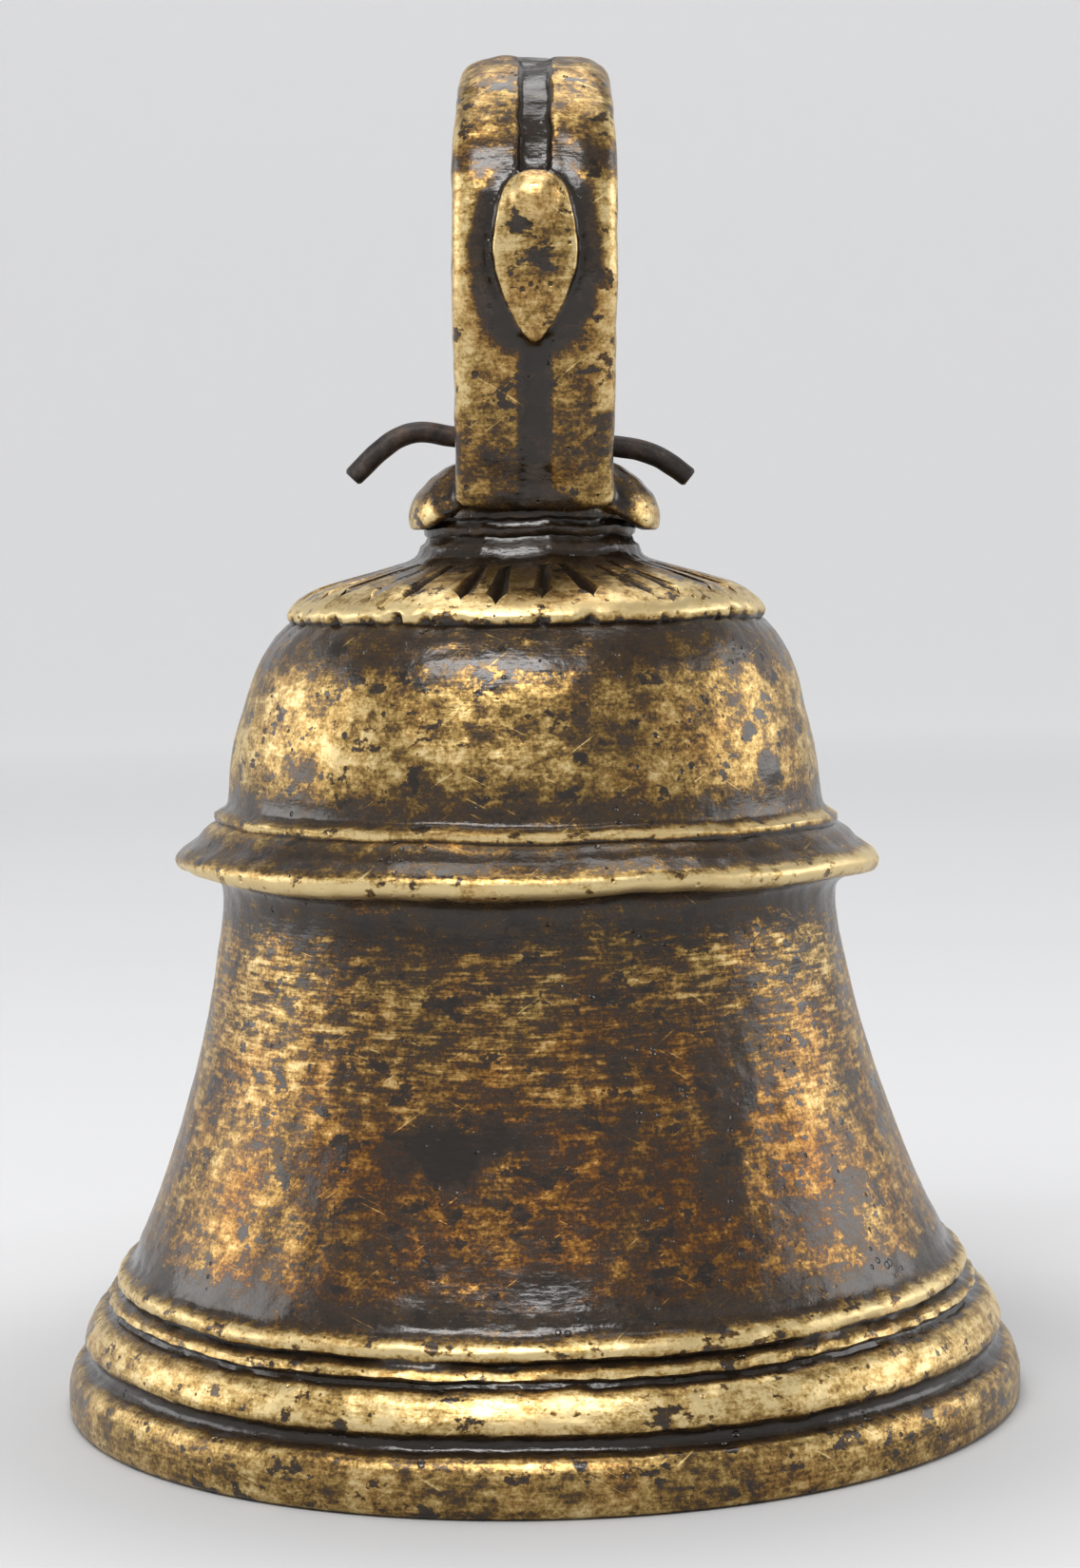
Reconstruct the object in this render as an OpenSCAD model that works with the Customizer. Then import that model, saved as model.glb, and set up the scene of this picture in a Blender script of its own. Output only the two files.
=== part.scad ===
// Hand-cast temple bell with a hanging loop, a doubled hanger wire and a clapper.
// The origin is the centre of the rim, on the surface that the bell stands on. +Z is up.
// The loop is seen edge-on from the front (-Y); its opening runs along X.

/* [Bell] */
// Radius of the mouth's rim
rim_r = 45; // [44:0.5:47]
// Width of the flat ring that the bell stands on
lip_w = 4.2; // [3.5:0.1:5]
// Radius of the waist's round bead
bead_r = 33; // [31.5:0.5:34]
// Radius of the neck under the loop
neck_r = 9.8; // [9:0.1:10.5]
// Number of chisel cuts around the shoulder
cut_count = 27; // [12:1:36]
// Width of one chisel cut at its outer end
cut_w = 1.8; // [1:0.1:2.4]

/* [Loop] */
// Height of the loop's top above the rim
loop_top = 125; // [120:1:132]
// Width of the loop's strap, from side to side
strap_w = 15; // [13:0.5:17]
// Outer radius of the loop's round top
loop_r = 18.5; // [17:0.5:20]
// Radius of the loop's opening
eye_r = 11.5; // [9:0.5:12]
// How far the loop leans to one side, in degrees
loop_lean = 1.3; // [0:0.1:2]
// How far the loop's foot sits off the bell's axis
loop_shift = 0.9; // [0:0.1:1.2]

/* [Clapper] */
// Thickness of the hanger wire
wire_d = 2; // [1.6:0.1:2.2]
// Thickness of the link's wire
link_d = 1.8; // [1.4:0.1:2]
// Overall length of the link
link_len = 11.2; // [10:0.2:13]
// Thickness of the clapper's shank
shank_d = 3; // [2.4:0.2:3.6]
// Widest radius of the clapper's bob
bob_r = 8; // [6:0.5:9]
// Height of the clapper's bob
bob_h = 19; // [15:1:21]

/* [Hidden] */
$fn = 96;

BRASS = "#a98a4a";
OLD_BRASS = "#8d7038";
IRON = "#3d3834";

run_gap = 0.1;          // clearance between a ring and the wire it hangs on
edge = 0.4;             // rounding of the rim's lower edges
neck_top = 83.7;
saddle_top = 88.7;      // floor of the loop's opening
hole_r = 2.7;           // crown hole for the doubled wire
crown_z = 73.4;         // underside of the crown at the hole
shoulder_z = 73.8;

wire_r = wire_d / 2;
link_r = link_d / 2;
shank_r = shank_d / 2;

// Staple: the eye has a short flat, then a bend on each side that touches a smaller bend,
// which leads up into the hole.
leg_x = wire_r + 0.1;
flat = 1.8;             // straight stretch that a ring turns on
eye_bend = 3;
throat_bend = 2;
throat_z = 72.6;        // height at which both legs run straight up
throat_out = leg_x + throat_bend - flat / 2;
eye_rise = sqrt(pow(eye_bend + throat_bend, 2) - pow(throat_out, 2));
eye_angle = atan2(eye_rise, throat_out);
swing_z = throat_z - eye_rise - eye_bend;         // link hinge, along X

// Link: a long rounded ring, hung on the staple's eye.
link_bend = 2;
link_top = swing_z + wire_r + link_r + run_gap;   // middle of its upper wire
sway_z = link_top - link_len + link_d;            // clapper hinge, along Y

// Clapper: a ring on the link's lower end, a shank, a bob and a riveted tip.
ring_r = 1.2;
ring_bend = 2.9;
ring_z = sway_z + link_r + ring_r + run_gap - ring_bend;
rivet_h = 1.4;
rivet_r = shank_r + 1;
rivet_z = 5.6;
bob_z = rivet_z + rivet_h;

function bezier(p, q, s, n) =
  [for (i = [0 : n]) let (t = i / n) (1 - t) * (1 - t) * p + 2 * t * (1 - t) * q + t * t * s];
function arc(centre, r, from, to, n) =
  [for (i = [0 : n]) let (a = from + (to - from) * i / n) centre + r * [cos(a), sin(a)]];

// Right-hand tangent point of a circle seen from a point below it.
function tangent_angle(centre, r, p) =
  atan2(p[1] - centre[1], p[0] - centre[0]) + acos(r / norm(p - centre));

// Outer face, from the rim up: [radius, height].
function mouth_bands() = [
  [rim_r - edge, 0], [rim_r, edge], [rim_r - 0.1, 1.6], [rim_r - 0.9, 4.8],
  [rim_r - 2, 5.7], [rim_r - 1.8, 6.7], [rim_r - 2.7, 8], [rim_r - 3.2, 9.7],
  [rim_r - 4.1, 10.1], [rim_r - 4.5, 10.5], [rim_r - 4.9, 11.4],
  [rim_r - 5.4, 11.9], [rim_r - 5, 12.6], [rim_r - 5.7, 13.8]];
function waist_bead() = concat(
  [[28.8, 48], [29.3, 49.5]],
  arc([bead_r - 1.2, 50.9], 1.2, -75, 75, 6),
  [[30.7, 53.5], [29.2, 54.2], [29.4, 55], [28.2, 55.6]]);
function shoulder() = [
  [22.4, shoulder_z - 0.6], [22.6, shoulder_z], [21.9, 74.8], [20, 76.2],
  [17, 77.1], [13.6, 78.1], [neck_r + 0.9, 78.9], [neck_r, 79.8]];
function outside() = concat(
  mouth_bands(),
  bezier([rim_r - 7.6, 16.4], [32, 29.3], [28.8, 45.5], 12),
  waist_bead(),
  bezier([27.9, 56.6], [27, 68.5], [22.2, shoulder_z - 0.9], 10),
  shoulder(),
  [[neck_r, neck_top], [hole_r, neck_top]]);

// Inner face, from the crown hole down to the lip.
function inside() = concat(
  [[hole_r, crown_z]],
  bezier([12, crown_z - 0.6], [24.4, 71], [24.7, 57], 10),
  bezier([25.7, 46], [30.5, 21], [rim_r - lip_w, edge], 12),
  [[rim_r - lip_w + edge, 0]]);

module chisel_cut() {
  // A turned square bar dips into the sloping shoulder, so the cut widens outwards to a point.
  inner_r = 13.2;
  outer_r = 21.6;
  dip = atan2(78.25 - 74.55, outer_r - inner_r);
  translate([inner_r, 0, 78.25])
    rotate([0, dip, 0])
      rotate([45, 0, 0])
        translate([0, -cut_w / 2, -cut_w / 2])
          cube([(outer_r - inner_r) / cos(dip), cut_w, cut_w]);
}

module bell_body() {
  color(BRASS)
  difference() {
    rotate_extrude() polygon(concat(outside(), inside()));
    for (i = [0 : cut_count - 1])
      rotate([0, 0, -90 + (i + 0.5) * 360 / cut_count]) chisel_cut();
  }
}

// Side outline of the strap, [depth, height]: a round top on two legs that draw in to the foot.
function stirrup(r, top, foot_y, foot_z) =
  let (c = [0, top - r], a = tangent_angle(c, r, [foot_y, foot_z]))
  concat([[-foot_y, foot_z], [foot_y, foot_z]], arc(c, r, a, 180 - a, 28));

module side_extrude(w) {
  rotate([90, 0, 90]) linear_extrude(w, center = true) children();
}
module front_extrude(depth) {
  rotate([90, 0, 0]) linear_extrude(depth, center = true) children();
}

strap_foot = neck_top + 0.3; // clears the neck when the loop leans
leg_y = 9.6;            // half depth of the legs at the foot
gap_y = 4.8;            // half depth of the opening at its floor
strap_floor = saddle_top - 1.8; // the saddle rises above it in the middle
strap_t = loop_r - eye_r;
loop_mid = loop_top - loop_r;

module strap() {
  crown_w = strap_w - 1.8;
  foot_w = strap_w - 0.8;
  corner = 3;
  intersection() {
    side_extrude(2 * strap_w)
      difference() {
        polygon(stirrup(loop_r, loop_top, leg_y - 0.2, strap_foot));
        polygon(stirrup(eye_r, loop_mid + eye_r, gap_y, strap_floor));
      }
    front_extrude(4 * loop_r)
      polygon(concat(
        [[-foot_w / 2, strap_foot], [foot_w / 2, strap_foot], [strap_w / 2, loop_mid]],
        arc([crown_w / 2 - corner, loop_top - corner], corner, 0, 90, 6),
        arc([corner - crown_w / 2, loop_top - corner], corner, 90, 180, 6),
        [[-strap_w / 2, loop_mid]]));
  }
}

module strap_groove(w, from, to) {
  // A shallow groove down the middle of the strap's outer face.
  depth = 0.8;
  intersection() {
    translate([-w / 2, -2 * loop_r, from]) cube([w, 2 * loop_r, to - from]);
    side_extrude(w)
      difference() {
        polygon(stirrup(loop_r + 1, loop_top + 1, leg_y + 1, neck_top - 1));
        polygon(stirrup(loop_r - depth, loop_top - depth, leg_y - depth, neck_top));
      }
  }
}

boss_tip = 97.6;
boss_w = 7.8;
boss_mid = loop_mid + 1.6;
module boss() {
  // Leaf-shaped boss on the leg: a round knob above, running down to a point.
  intersection() {
    front_extrude(4 * loop_r)
      polygon(concat([[0, boss_tip], [boss_w / 3, boss_tip + 4]],
        arc([0, boss_mid], boss_w / 2, -15, 195, 16), [[-boss_w / 3, boss_tip + 4]]));
    side_extrude(boss_w)
      polygon([[-14, boss_tip], [-16.6, boss_tip], [-19.9, boss_mid - 2], [-20.8, boss_mid],
        [-20.6, boss_mid + 2.2], [-19.4, boss_mid + boss_w / 2], [-14, boss_mid + boss_w / 2]]);
  }
}

module saddle() {
  // Foot of the loop: a thick cap on the neck whose two side lobes droop over its edge.
  lobe_r = 11.8;
  lobe_z = 81.4;
  seam = 0.2;
  difference() {
    intersection() {
      translate([0, 0, lobe_z]) cylinder(r = lobe_r, h = saddle_top - lobe_z);
      front_extrude(2 * leg_y)
        polygon([[-lobe_r, lobe_z], [lobe_r, lobe_z], [lobe_r, 83.2], [10.4, 85.6],
          [7.6, 87.6], [4, saddle_top], [-4, saddle_top], [-7.6, 87.6], [-10.4, 85.6],
          [-lobe_r, 83.2]]);
    }
    translate([-loop_shift, 0, lobe_z - 1])
      cylinder(r = neck_r + seam, h = neck_top - lobe_z + 1);
  }
}

module hanging_loop() {
  color(BRASS)
  difference() {
    translate([loop_shift, 0, 0])
      union() {
        saddle();
        translate([0, 0, neck_top]) rotate([0, loop_lean, 0]) translate([0, 0, -neck_top])
          difference() {
            union() {
              strap();
              boss();
              rotate([0, 0, 180]) boss();
            }
            for (turn = [0, 180])
              rotate([0, 0, turn]) {
                strap_groove(2.8, 85.5, boss_tip - 0.3);
                strap_groove(2.4, boss_mid + boss_w / 2, loop_top + 1);
              }
          }
      }
    // The wire passes through the foot.
    translate([0, 0, neck_top - 1]) cylinder(r = hole_r, h = saddle_top - neck_top + 2);
  }
}

module bend(r, turn, bend_r) {
  // A round bar starts along +X and turns towards +Z, or towards -Z when turn is negative.
  flip = turn < 0 ? 180 : 0;
  rotate([flip, 0, 0])
    translate([0, 0, bend_r]) rotate([90, 0, 0]) rotate([0, 0, -90])
      rotate_extrude(angle = abs(turn)) translate([bend_r, 0]) circle(r = r);
}

module bent_bar(r, steps, i = 0) {
  // Each step is [straight length, turn, bend radius], laid end to end in the XZ plane.
  // A ball a hair thicker than the bar joins the pieces.
  joint_r = r + 0.02;
  if (i < len(steps)) {
    straight = steps[i][0];
    turn = steps[i][1];
    bend_r = steps[i][2];
    side = turn < 0 ? -1 : 1;
    sphere(r = joint_r);
    if (straight > 0) rotate([0, 90, 0]) cylinder(r = r, h = straight);
    translate([straight, 0, 0]) {
      if (straight > 0 && turn != 0) sphere(r = joint_r);
      if (turn != 0) bend(r, turn, bend_r);
      translate([bend_r * sin(abs(turn)), 0, side * bend_r * (1 - cos(turn))])
        rotate([0, -turn, 0]) bent_bar(r, steps, i + 1);
    }
  }
}

leg_len = 87.7 - throat_z;
top_bend = 2.4;
// Each half of the wire: round the eye, up the hole, out over the saddle, then down.
half_eye = [[0, 90 + eye_angle, eye_bend], [0, -eye_angle, throat_bend]];
right_end = [[leg_len, -98, top_bend], [5, -7, 6], [3.3, -21, 3], [2.9, 0, 0]];
left_end = [[leg_len, -84, top_bend], [5.6, -28, 3.5], [1.6, -20, 4], [3.2, 0, 0]];

module clapper_staple() {
  color(IRON)
  translate([0, 0, swing_z])
    union() {
      translate([-flat / 2, 0, 0]) rotate([0, 90, 0]) cylinder(r = wire_r, h = flat);
      translate([flat / 2, 0, 0]) bent_bar(wire_r, concat(half_eye, right_end));
      mirror([1, 0, 0])
        translate([flat / 2, 0, 0]) bent_bar(wire_r, concat(half_eye, left_end));
    }
}

module clapper_link() {
  side_len = link_len - link_d - 2 * link_bend;
  half_w = flat / 2 + link_bend;
  color(IRON)
  translate([0, 0, (link_top + sway_z) / 2]) rotate([0, 0, 90])
    for (flip = [0, 180])
      rotate([0, flip, 0]) {
        translate([half_w, 0, -side_len / 2]) cylinder(r = link_r, h = side_len);
        translate([-flat / 2, 0, side_len / 2 + link_bend]) rotate([0, 90, 0])
          cylinder(r = link_r, h = flat);
        for (turn = [0, 90])
          translate([turn == 0 ? flat / 2 : -flat / 2, 0, side_len / 2])
            rotate([90, 0, 0]) rotate([0, 0, turn])
              rotate_extrude(angle = 90) translate([link_bend, 0]) circle(r = link_r);
      }
}

module clapper_rod() {
  color(IRON)
  union() {
    translate([0, 0, ring_z]) rotate([90, 0, 0])
      rotate_extrude() translate([ring_bend, 0]) circle(r = ring_r);
    translate([0, 0, rivet_z]) cylinder(r = shank_r, h = ring_z - ring_bend - rivet_z);
    translate([0, 0, rivet_z]) cylinder(r1 = shank_r, r2 = rivet_r, h = rivet_h / 2);
    translate([0, 0, rivet_z + rivet_h / 2]) cylinder(r = rivet_r, h = rivet_h / 2);
  }
}

module clapper_bob() {
  // Pear shape: a round belly below, drawn in to a collar on the shank.
  base_r = 3.4;
  collar_r = shank_r + 1.2;
  color(OLD_BRASS)
  translate([0, 0, bob_z])
    rotate_extrude()
      polygon(concat([[shank_r, 0], [base_r, 0]],
        bezier([base_r, 0], [bob_r + 0.5, 0.4], [bob_r, bob_h * 0.36], 8),
        bezier([bob_r, bob_h * 0.36], [bob_r - 0.6, bob_h * 0.74], [collar_r, bob_h - 1], 8),
        [[collar_r, bob_h], [shank_r, bob_h]]));
}

bell_body();
hanging_loop();
clapper_staple();
clapper_link();
clapper_rod();
clapper_bob();
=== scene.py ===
import math
import random

import bpy
import numpy as np
from mathutils import Matrix, Vector, noise


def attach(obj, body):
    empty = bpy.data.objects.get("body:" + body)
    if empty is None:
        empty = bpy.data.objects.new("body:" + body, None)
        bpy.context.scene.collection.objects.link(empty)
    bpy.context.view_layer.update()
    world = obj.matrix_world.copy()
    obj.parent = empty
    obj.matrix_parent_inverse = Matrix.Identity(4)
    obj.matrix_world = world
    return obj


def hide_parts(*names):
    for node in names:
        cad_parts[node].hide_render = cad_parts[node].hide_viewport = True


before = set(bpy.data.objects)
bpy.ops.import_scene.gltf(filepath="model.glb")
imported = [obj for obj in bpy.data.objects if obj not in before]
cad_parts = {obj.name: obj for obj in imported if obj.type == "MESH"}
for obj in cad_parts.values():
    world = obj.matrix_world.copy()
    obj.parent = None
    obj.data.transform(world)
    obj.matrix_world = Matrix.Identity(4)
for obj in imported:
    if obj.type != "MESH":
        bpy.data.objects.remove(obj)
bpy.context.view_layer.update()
mm = 0.001


def deselectAll():
    if bpy.context.object and bpy.context.object.mode != "OBJECT":
        bpy.ops.object.mode_set(mode="OBJECT")
    bpy.ops.object.select_all(action="DESELECT")


def pick(obj):
    deselectAll()
    obj.select_set(True)
    bpy.context.view_layer.objects.active = obj
    return obj


def named(name):
    obj = bpy.context.object
    obj.name = name
    obj.data.name = name
    return obj


def applyPlace(obj):
    pick(obj)
    bpy.ops.object.transform_apply(location=True, rotation=True, scale=True)
    return obj


def modify(obj, kind, **settings):
    # adds one modifier and applies it at once
    pick(obj)
    mod = obj.modifiers.new(kind.lower(), kind)
    for key, value in settings.items():
        setattr(mod, key, value)
    bpy.ops.object.modifier_apply(modifier=mod.name)
    return obj


def joinAll(objs):
    deselectAll()
    for obj in objs:
        obj.select_set(True)
    bpy.context.view_layer.objects.active = objs[0]
    bpy.ops.object.join()
    return objs[0]


def boolean(obj, tool, operation, crossing=False):
    modify(obj, "BOOLEAN", object=tool, operation=operation, solver="EXACT", use_self=crossing)
    bpy.data.objects.remove(tool, do_unlink=True)
    return obj


def tidyMesh(obj, distance=0.01):
    pick(obj)
    bpy.ops.object.mode_set(mode="EDIT")
    bpy.ops.mesh.select_all(action="SELECT")
    bpy.ops.mesh.remove_doubles(threshold=distance * mm)
    bpy.ops.mesh.normals_make_consistent(inside=False)
    bpy.ops.object.mode_set(mode="OBJECT")
    return obj


def closeMesh(obj):
    # fills every open end
    pick(obj)
    bpy.ops.object.mode_set(mode="EDIT")
    bpy.ops.mesh.select_all(action="SELECT")
    bpy.ops.mesh.fill_holes(sides=0)
    bpy.ops.mesh.normals_make_consistent(inside=False)
    bpy.ops.object.mode_set(mode="OBJECT")
    return obj


def coordsOf(obj):
    co = np.empty(len(obj.data.vertices) * 3)
    obj.data.vertices.foreach_get("co", co)
    return co.reshape(-1, 3)


def setCoords(obj, co):
    obj.data.vertices.foreach_set("co", co.ravel())
    obj.data.update()


def smoothStep(low, high, value):
    t = np.clip((value - low) / (high - low), 0, 1)
    return t * t * (3 - 2 * t)


def bump(value, centre, width):
    return np.exp(-((value - centre) / width) ** 2)


def angleFrom(theta, centre):
    # signed difference of two angles in degrees
    return (theta - centre + 180) % 360 - 180


def wobble(points, size, seed):
    # smooth noise from -1 to 1 with lumps of the given size in millimetres
    shift = Vector((seed * 17.3, seed * 5.1, seed * 9.7))
    return np.array([noise.noise(Vector(p) / size + shift) for p in points])


def catmull(points, spacing):
    # a smooth line through given points, [radius, height] in millimetres
    pts = np.array(points, float)
    out = []
    for i in range(len(pts) - 1):
        a, b, c, d = pts[max(i - 1, 0)], pts[i], pts[i + 1], pts[min(i + 2, len(pts) - 1)]
        count = max(1, round(np.linalg.norm(c - b) / spacing(b[1])))
        for t in np.arange(count) / count:
            out.append(0.5 * (2 * b + (c - a) * t + (2 * a - 5 * b + 4 * c - d) * t ** 2
                              + (3 * b - a - 3 * c + d) * t ** 3))
    out.append(pts[-1])
    return np.array(out)


def bezier(a, b, c, count):
    t = np.linspace(0, 1, count + 1)[:, None]
    return (1 - t) ** 2 * np.array(a) + 2 * t * (1 - t) * np.array(b) + t * t * np.array(c)


def lathe(name, line, steps):
    # draws the line as a chain of edges, then spins it round the bell's axis
    deselectAll()
    start = line[0] * mm
    bpy.ops.mesh.primitive_plane_add(size=mm, location=(start[0], 0, start[1]))
    obj = applyPlace(named(name))
    bpy.ops.object.mode_set(mode="EDIT")
    bpy.ops.mesh.select_all(action="SELECT")
    bpy.ops.mesh.merge(type="CENTER")
    for a, b in zip(line[:-1], line[1:]):
        step = (b - a) * mm
        bpy.ops.mesh.extrude_region_move(TRANSFORM_OT_translate={"value": (step[0], 0, step[1])})
    bpy.ops.mesh.select_all(action="SELECT")
    bpy.ops.mesh.spin(steps=steps, angle=math.tau, center=(0, 0, 0), axis=(0, 0, 1))
    bpy.ops.object.mode_set(mode="OBJECT")
    return tidyMesh(obj, 0.001)


def storeFloat(obj, name, values):
    data = obj.data.attributes.get(name) or obj.data.attributes.new(name, "FLOAT", "POINT")
    data.data.foreach_set("value", np.asarray(values, np.float32))


def measureHollow(obj, reach, name, gain):
    # how far each point lies under its own neighbourhood: hollows positive, ridges negative
    co = coordsOf(obj) / mm
    edges = np.empty(len(obj.data.edges) * 2, int)
    obj.data.edges.foreach_get("vertices", edges)
    a, b = edges.reshape(-1, 2).T
    weight = 1 / (np.linalg.norm(co[a] - co[b], axis=1) + 0.05)
    total = np.bincount(a, weight, len(co)) + np.bincount(b, weight, len(co))
    smooth = co.copy()
    for _ in range(reach):
        moved = np.empty_like(smooth)
        for k in range(3):
            near = np.bincount(a, weight * smooth[b, k], len(co))
            near += np.bincount(b, weight * smooth[a, k], len(co))
            moved[:, k] = near / np.maximum(total, 1e-9)
        smooth = 0.5 * smooth + 0.5 * moved
    normals = np.empty(len(co) * 3)
    obj.data.vertices.foreach_get("normal", normals)
    depth = ((smooth - co) * normals.reshape(-1, 3)).sum(1)
    storeFloat(obj, name, np.clip(depth * gain, -0.22, 1))


# Materials. One function makes a node; patterns are sized in millimetres.

def linear(hexColour):
    # sRGB hex to linear RGBA
    parts = [int(hexColour[i:i + 2], 16) / 255 for i in (1, 3, 5)]
    return tuple(c / 12.92 if c <= 0.04045 else ((c + 0.055) / 1.055) ** 2.4 for c in parts) + (1,)


def addNode(tree, kind, settings=None, inputs=None, stops=None, output=0):
    # one node with its settings; an input is a value or another node's output
    node = tree.nodes.new(kind)
    for key, value in (settings or {}).items():
        setattr(node, key, value)
    for key, value in (inputs or {}).items():
        if isinstance(value, bpy.types.NodeSocket):
            tree.links.new(value, node.inputs[key])
        else:
            node.inputs[key].default_value = value
    for i, (place, colour) in enumerate(stops or []):
        bar = node.color_ramp.elements
        element = bar[i] if i < 2 else bar.new(place)
        element.position = place
        element.color = linear(colour)
    return node.outputs[output] if node.outputs else node


def newMaterial(name):
    material = bpy.data.materials.new(name)
    material.use_nodes = True
    tree = material.node_tree
    tree.nodes.clear()
    return material, tree


def addPatterns(tree, place, patterns):
    # noises by name: lump size, detail, roughness, squeeze of each axis
    made = {}
    for name, (size, detail, rough, squeeze) in patterns.items():
        spot = addNode(tree, "ShaderNodeMapping", None, {"Vector": place, "Scale": squeeze})
        made[name] = addNode(tree, "ShaderNodeTexNoise", None,
                             {"Vector": spot, "Scale": 1 / size, "Detail": detail,
                              "Roughness": rough})
    return made


def addUp(tree, start, layers):
    # start plus each value times its gain
    total = start
    for value, gain in layers:
        total = addNode(tree, "ShaderNodeMath", {"operation": "MULTIPLY_ADD"},
                        {0: value, 1: gain, 2: total})
    return total


def addRelief(tree, layers):
    # bumps over bumps, each a height from 0 to 1 and its depth in millimetres
    normal = None
    for height, depth in layers:
        inputs = {"Height": height, "Distance": depth * mm, "Strength": 1.0}
        if normal:
            inputs["Normal"] = normal
        normal = addNode(tree, "ShaderNodeBump", None, inputs)
    return normal


even = (1, 1, 1)
brassPatterns = {
    "cloud": (8, 5, 0.62, even),
    "mottle": (1.6, 8, 0.7, (0.85, 0.85, 1.2)),
    "blotch": (2.3, 7, 0.62, (0.85, 0.85, 1.2)),
    "grain": (0.34, 4, 0.7, even),
    "streak": (1.25, 6, 0.66, (0.34, 0.34, 2.6)),
    "brushed": (0.5, 3, 0.6, (0.14, 0.14, 2.4)),
    "hue": (6.5, 4, 0.6, even),
    "pitField": (4.0, 2, 0.5, even),
    # the last four shape the surface, so they stay smooth
    "lumps": (5.0, 2, 0.5, even),
    "ripple": (1.7, 2, 0.5, (0.8, 0.8, 1.3)),
    "crackle": (0.75, 2, 0.55, (0.55, 0.55, 1.5)),
    "grit": (0.4, 1, 0.5, even),
}
# how deep each of them is cut or raised, in millimetres
reliefDepths = {"lumps": 0.3, "ripple": 0.06, "crackle": 0.03, "streak": 0.016, "brushed": 0.012,
                "bareMetal": 0.012, "unpitted": 0.1, "grit": 0.02}


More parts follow.
